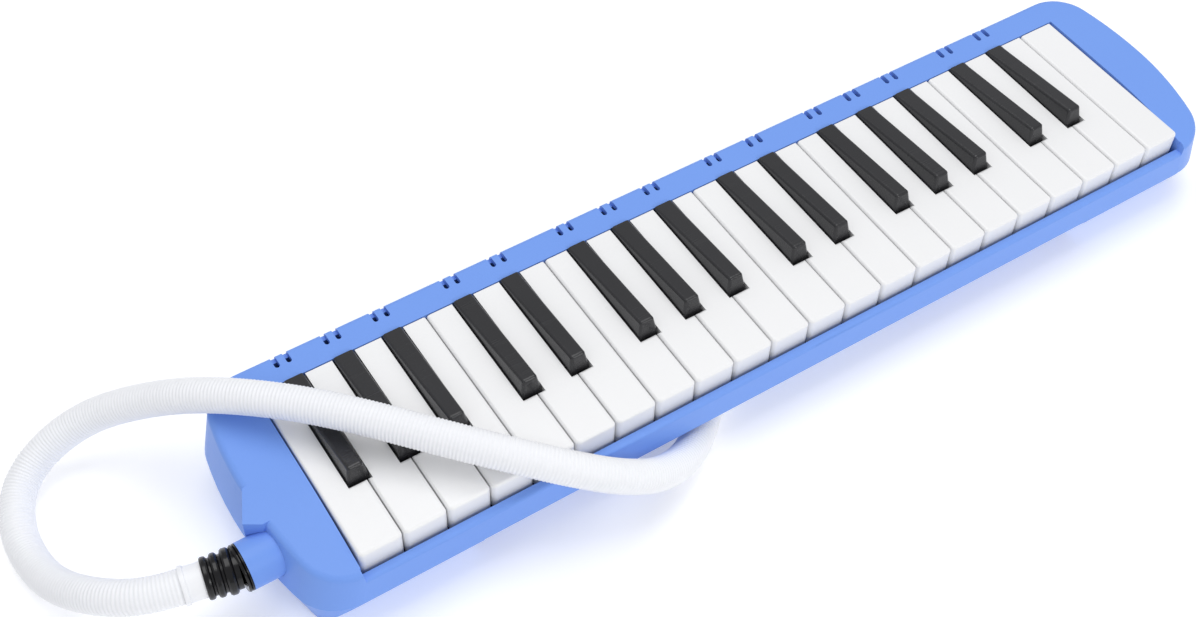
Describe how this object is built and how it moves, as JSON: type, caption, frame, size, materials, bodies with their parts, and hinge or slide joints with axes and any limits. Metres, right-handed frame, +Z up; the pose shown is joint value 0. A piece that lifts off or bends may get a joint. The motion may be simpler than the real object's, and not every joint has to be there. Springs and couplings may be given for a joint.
{
  "type": "melodica",
  "caption": "Blow-keyboard instrument with a piano-style key bed in a two-part plastic case, see-saw keys over reed cells, and a corrugated blowing hose on a bent rubber connector.",
  "frame": {"origin": "on the flat base, under the middle of the keyboard's length and of the case's depth", "axes": "+X along the keyboard towards the high notes, +Y from the player's edge to the slotted rear edge, +Z up out of the keys"},
  "size_m": [0.5272, 0.1515, 0.063],
  "materials": {
    "case_blue": "smooth, semi-gloss moulded plastic",
    "white_key": "smooth, semi-gloss moulded plastic",
    "black_key": "fine satin moulded plastic",
    "hose_white": "soft satin extruded plastic",
    "black_rubber": "matt soft rubber",
    "gasket_rubber": "matt soft rubber",
    "inner_plastic": "plain moulded plastic",
    "aluminium_plate": "milled",
    "brass_reed": "brushed",
    "steel": "zinc plated",
    "spring_steel": "spring temper",
    "felt": "pressed wool felt"
  },
  "bodies": {
    "case": {"upper_case": "case_blue", "lower_case": "case_blue", "air_inlet": "case_blue", "hose_connector": "black_rubber", "hose_cuff": "hose_white", "hose_tube": "hose_white", "mouthpiece": "hose_white", "reed_block": "inner_plastic", "chamber_gasket": "gasket_rubber", "air_box": "inner_plastic", "reed_plate_low": "aluminium_plate", "reed_plate_high": "aluminium_plate", "reeds": "brass_reed", "reed_rivets": "brass_reed", "chamber_screws": "steel", "case_screws": "steel", "key_axle": "steel", "key_springs": "spring_steel", "key_stop_felt": "felt", "key_guide_comb": "inner_plastic", "drain_spring": "spring_steel"},
    "white_key_01": {"white_key_01": "white_key"},
    "black_key_01": {"black_key_01": "black_key"},
    "white_key_02": {"white_key_02": "white_key"},
    "black_key_02": {"black_key_02": "black_key"},
    "white_key_03": {"white_key_03": "white_key"},
    "black_key_03": {"black_key_03": "black_key"},
    "white_key_04": {"white_key_04": "white_key"},
    "white_key_05": {"white_key_05": "white_key"},
    "black_key_04": {"black_key_04": "black_key"},
    "white_key_06": {"white_key_06": "white_key"},
    "black_key_05": {"black_key_05": "black_key"},
    "white_key_07": {"white_key_07": "white_key"},
    "white_key_08": {"white_key_08": "white_key"},
    "black_key_06": {"black_key_06": "black_key"},
    "white_key_09": {"white_key_09": "white_key"},
    "black_key_07": {"black_key_07": "black_key"},
    "white_key_10": {"white_key_10": "white_key"},
    "black_key_08": {"black_key_08": "black_key"},
    "white_key_11": {"white_key_11": "white_key"},
    "white_key_12": {"white_key_12": "white_key"},
    "black_key_09": {"black_key_09": "black_key"},
    "white_key_13": {"white_key_13": "white_key"},
    "black_key_10": {"black_key_10": "black_key"},
    "white_key_14": {"white_key_14": "white_key"},
    "white_key_15": {"white_key_15": "white_key"},
    "black_key_11": {"black_key_11": "black_key"},
    "white_key_16": {"white_key_16": "white_key"},
    "black_key_12": {"black_key_12": "black_key"},
    "white_key_17": {"white_key_17": "white_key"},
    "black_key_13": {"black_key_13": "black_key"},
    "white_key_18": {"white_key_18": "white_key"},
    "white_key_19": {"white_key_19": "white_key"},
    "black_key_14": {"black_key_14": "black_key"},
    "white_key_20": {"white_key_20": "white_key"},
    "black_key_15": {"black_key_15": "black_key"},
    "white_key_21": {"white_key_21": "white_key"},
    "white_key_22": {"white_key_22": "white_key"},
    "water_release": {"drain_button": "case_blue", "drain_seal": "gasket_rubber"}
  },
  "joints": [
    {"name": "white_key_01_pivot", "type": "hinge", "parent": "case", "child": "white_key_01", "pos_m": [0, 0.0205, 0.031], "axis": [1, 0, 0], "range_deg": [0, 4.2], "stiffness_Nm_per_rad": 0.15, "springref_deg": -11.46, "deforming": ["key_springs"]},
    {"name": "black_key_01_pivot", "type": "hinge", "parent": "case", "child": "black_key_01", "pos_m": [0, 0.0205, 0.031], "axis": [1, 0, 0], "range_deg": [0, 4.2], "stiffness_Nm_per_rad": 0.15, "springref_deg": -11.46},
    {"name": "white_key_02_pivot", "type": "hinge", "parent": "case", "child": "white_key_02", "pos_m": [0, 0.0205, 0.031], "axis": [1, 0, 0], "range_deg": [0, 4.2], "stiffness_Nm_per_rad": 0.15, "springref_deg": -11.46},
    {"name": "black_key_02_pivot", "type": "hinge", "parent": "case", "child": "black_key_02", "pos_m": [0, 0.0205, 0.031], "axis": [1, 0, 0], "range_deg": [0, 4.2], "stiffness_Nm_per_rad": 0.15, "springref_deg": -11.46},
    {"name": "white_key_03_pivot", "type": "hinge", "parent": "case", "child": "white_key_03", "pos_m": [0, 0.0205, 0.031], "axis": [1, 0, 0], "range_deg": [0, 4.2], "stiffness_Nm_per_rad": 0.15, "springref_deg": -11.46},
    {"name": "black_key_03_pivot", "type": "hinge", "parent": "case", "child": "black_key_03", "pos_m": [0, 0.0205, 0.031], "axis": [1, 0, 0], "range_deg": [0, 4.2], "stiffness_Nm_per_rad": 0.15, "springref_deg": -11.46},
    {"name": "white_key_04_pivot", "type": "hinge", "parent": "case", "child": "white_key_04", "pos_m": [0, 0.0205, 0.031], "axis": [1, 0, 0], "range_deg": [0, 4.2], "stiffness_Nm_per_rad": 0.15, "springref_deg": -11.46},
    {"name": "white_key_05_pivot", "type": "hinge", "parent": "case", "child": "white_key_05", "pos_m": [0, 0.0205, 0.031], "axis": [1, 0, 0], "range_deg": [0, 4.2], "stiffness_Nm_per_rad": 0.15, "springref_deg": -11.46},
    {"name": "black_key_04_pivot", "type": "hinge", "parent": "case", "child": "black_key_04", "pos_m": [0, 0.0205, 0.031], "axis": [1, 0, 0], "range_deg": [0, 4.2], "stiffness_Nm_per_rad": 0.15, "springref_deg": -11.46},
    {"name": "white_key_06_pivot", "type": "hinge", "parent": "case", "child": "white_key_06", "pos_m": [0, 0.0205, 0.031], "axis": [1, 0, 0], "range_deg": [0, 4.2], "stiffness_Nm_per_rad": 0.15, "springref_deg": -11.46},
    {"name": "black_key_05_pivot", "type": "hinge", "parent": "case", "child": "black_key_05", "pos_m": [0, 0.0205, 0.031], "axis": [1, 0, 0], "range_deg": [0, 4.2], "stiffness_Nm_per_rad": 0.15, "springref_deg": -11.46},
    {"name": "white_key_07_pivot", "type": "hinge", "parent": "case", "child": "white_key_07", "pos_m": [0, 0.0205, 0.031], "axis": [1, 0, 0], "range_deg": [0, 4.2], "stiffness_Nm_per_rad": 0.15, "springref_deg": -11.46},
    {"name": "white_key_08_pivot", "type": "hinge", "parent": "case", "child": "white_key_08", "pos_m": [0, 0.0205, 0.031], "axis": [1, 0, 0], "range_deg": [0, 4.2], "stiffness_Nm_per_rad": 0.15, "springref_deg": -11.46},
    {"name": "black_key_06_pivot", "type": "hinge", "parent": "case", "child": "black_key_06", "pos_m": [0, 0.0205, 0.031], "axis": [1, 0, 0], "range_deg": [0, 4.2], "stiffness_Nm_per_rad": 0.15, "springref_deg": -11.46},
    {"name": "white_key_09_pivot", "type": "hinge", "parent": "case", "child": "white_key_09", "pos_m": [0, 0.0205, 0.031], "axis": [1, 0, 0], "range_deg": [0, 4.2], "stiffness_Nm_per_rad": 0.15, "springref_deg": -11.46},
    {"name": "black_key_07_pivot", "type": "hinge", "parent": "case", "child": "black_key_07", "pos_m": [0, 0.0205, 0.031], "axis": [1, 0, 0], "range_deg": [0, 4.2], "stiffness_Nm_per_rad": 0.15, "springref_deg": -11.46},
    {"name": "white_key_10_pivot", "type": "hinge", "parent": "case", "child": "white_key_10", "pos_m": [0, 0.0205, 0.031], "axis": [1, 0, 0], "range_deg": [0, 4.2], "stiffness_Nm_per_rad": 0.15, "springref_deg": -11.46},
    {"name": "black_key_08_pivot", "type": "hinge", "parent": "case", "child": "black_key_08", "pos_m": [0, 0.0205, 0.031], "axis": [1, 0, 0], "range_deg": [0, 4.2], "stiffness_Nm_per_rad": 0.15, "springref_deg": -11.46},
    {"name": "white_key_11_pivot", "type": "hinge", "parent": "case", "child": "white_key_11", "pos_m": [0, 0.0205, 0.031], "axis": [1, 0, 0], "range_deg": [0, 4.2], "stiffness_Nm_per_rad": 0.15, "springref_deg": -11.46},
    {"name": "white_key_12_pivot", "type": "hinge", "parent": "case", "child": "white_key_12", "pos_m": [0, 0.0205, 0.031], "axis": [1, 0, 0], "range_deg": [0, 4.2], "stiffness_Nm_per_rad": 0.15, "springref_deg": -11.46},
    {"name": "black_key_09_pivot", "type": "hinge", "parent": "case", "child": "black_key_09", "pos_m": [0, 0.0205, 0.031], "axis": [1, 0, 0], "range_deg": [0, 4.2], "stiffness_Nm_per_rad": 0.15, "springref_deg": -11.46},
    {"name": "white_key_13_pivot", "type": "hinge", "parent": "case", "child": "white_key_13", "pos_m": [0, 0.0205, 0.031], "axis": [1, 0, 0], "range_deg": [0, 4.2], "stiffness_Nm_per_rad": 0.15, "springref_deg": -11.46},
    {"name": "black_key_10_pivot", "type": "hinge", "parent": "case", "child": "black_key_10", "pos_m": [0, 0.0205, 0.031], "axis": [1, 0, 0], "range_deg": [0, 4.2], "stiffness_Nm_per_rad": 0.15, "springref_deg": -11.46},
    {"name": "white_key_14_pivot", "type": "hinge", "parent": "case", "child": "white_key_14", "pos_m": [0, 0.0205, 0.031], "axis": [1, 0, 0], "range_deg": [0, 4.2], "stiffness_Nm_per_rad": 0.15, "springref_deg": -11.46},
    {"name": "white_key_15_pivot", "type": "hinge", "parent": "case", "child": "white_key_15", "pos_m": [0, 0.0205, 0.031], "axis": [1, 0, 0], "range_deg": [0, 4.2], "stiffness_Nm_per_rad": 0.15, "springref_deg": -11.46},
    {"name": "black_key_11_pivot", "type": "hinge", "parent": "case", "child": "black_key_11", "pos_m": [0, 0.0205, 0.031], "axis": [1, 0, 0], "range_deg": [0, 4.2], "stiffness_Nm_per_rad": 0.15, "springref_deg": -11.46},
    {"name": "white_key_16_pivot", "type": "hinge", "parent": "case", "child": "white_key_16", "pos_m": [0, 0.0205, 0.031], "axis": [1, 0, 0], "range_deg": [0, 4.2], "stiffness_Nm_per_rad": 0.15, "springref_deg": -11.46},
    {"name": "black_key_12_pivot", "type": "hinge", "parent": "case", "child": "black_key_12", "pos_m": [0, 0.0205, 0.031], "axis": [1, 0, 0], "range_deg": [0, 4.2], "stiffness_Nm_per_rad": 0.15, "springref_deg": -11.46},
    {"name": "white_key_17_pivot", "type": "hinge", "parent": "case", "child": "white_key_17", "pos_m": [0, 0.0205, 0.031], "axis": [1, 0, 0], "range_deg": [0, 4.2], "stiffness_Nm_per_rad": 0.15, "springref_deg": -11.46},
    {"name": "black_key_13_pivot", "type": "hinge", "parent": "case", "child": "black_key_13", "pos_m": [0, 0.0205, 0.031], "axis": [1, 0, 0], "range_deg": [0, 4.2], "stiffness_Nm_per_rad": 0.15, "springref_deg": -11.46},
    {"name": "white_key_18_pivot", "type": "hinge", "parent": "case", "child": "white_key_18", "pos_m": [0, 0.0205, 0.031], "axis": [1, 0, 0], "range_deg": [0, 4.2], "stiffness_Nm_per_rad": 0.15, "springref_deg": -11.46},
    {"name": "white_key_19_pivot", "type": "hinge", "parent": "case", "child": "white_key_19", "pos_m": [0, 0.0205, 0.031], "axis": [1, 0, 0], "range_deg": [0, 4.2], "stiffness_Nm_per_rad": 0.15, "springref_deg": -11.46},
    {"name": "black_key_14_pivot", "type": "hinge", "parent": "case", "child": "black_key_14", "pos_m": [0, 0.0205, 0.031], "axis": [1, 0, 0], "range_deg": [0, 4.2], "stiffness_Nm_per_rad": 0.15, "springref_deg": -11.46},
    {"name": "white_key_20_pivot", "type": "hinge", "parent": "case", "child": "white_key_20", "pos_m": [0, 0.0205, 0.031], "axis": [1, 0, 0], "range_deg": [0, 4.2], "stiffness_Nm_per_rad": 0.15, "springref_deg": -11.46},
    {"name": "black_key_15_pivot", "type": "hinge", "parent": "case", "child": "black_key_15", "pos_m": [0, 0.0205, 0.031], "axis": [1, 0, 0], "range_deg": [0, 4.2], "stiffness_Nm_per_rad": 0.15, "springref_deg": -11.46},
    {"name": "white_key_21_pivot", "type": "hinge", "parent": "case", "child": "white_key_21", "pos_m": [0, 0.0205, 0.031], "axis": [1, 0, 0], "range_deg": [0, 4.2], "stiffness_Nm_per_rad": 0.15, "springref_deg": -11.46},
    {"name": "white_key_22_pivot", "type": "hinge", "parent": "case", "child": "white_key_22", "pos_m": [0, 0.0205, 0.031], "axis": [1, 0, 0], "range_deg": [0, 4.2], "stiffness_Nm_per_rad": 0.15, "springref_deg": -11.46},
    {"name": "water_release_slide", "type": "slide", "parent": "case", "child": "water_release", "axis": [-1, 0, 0], "range_m": [0, 0.0025], "stiffness_N_per_m": 300, "springref_m": -0.003, "deforming": ["drain_spring"]}
  ]
}
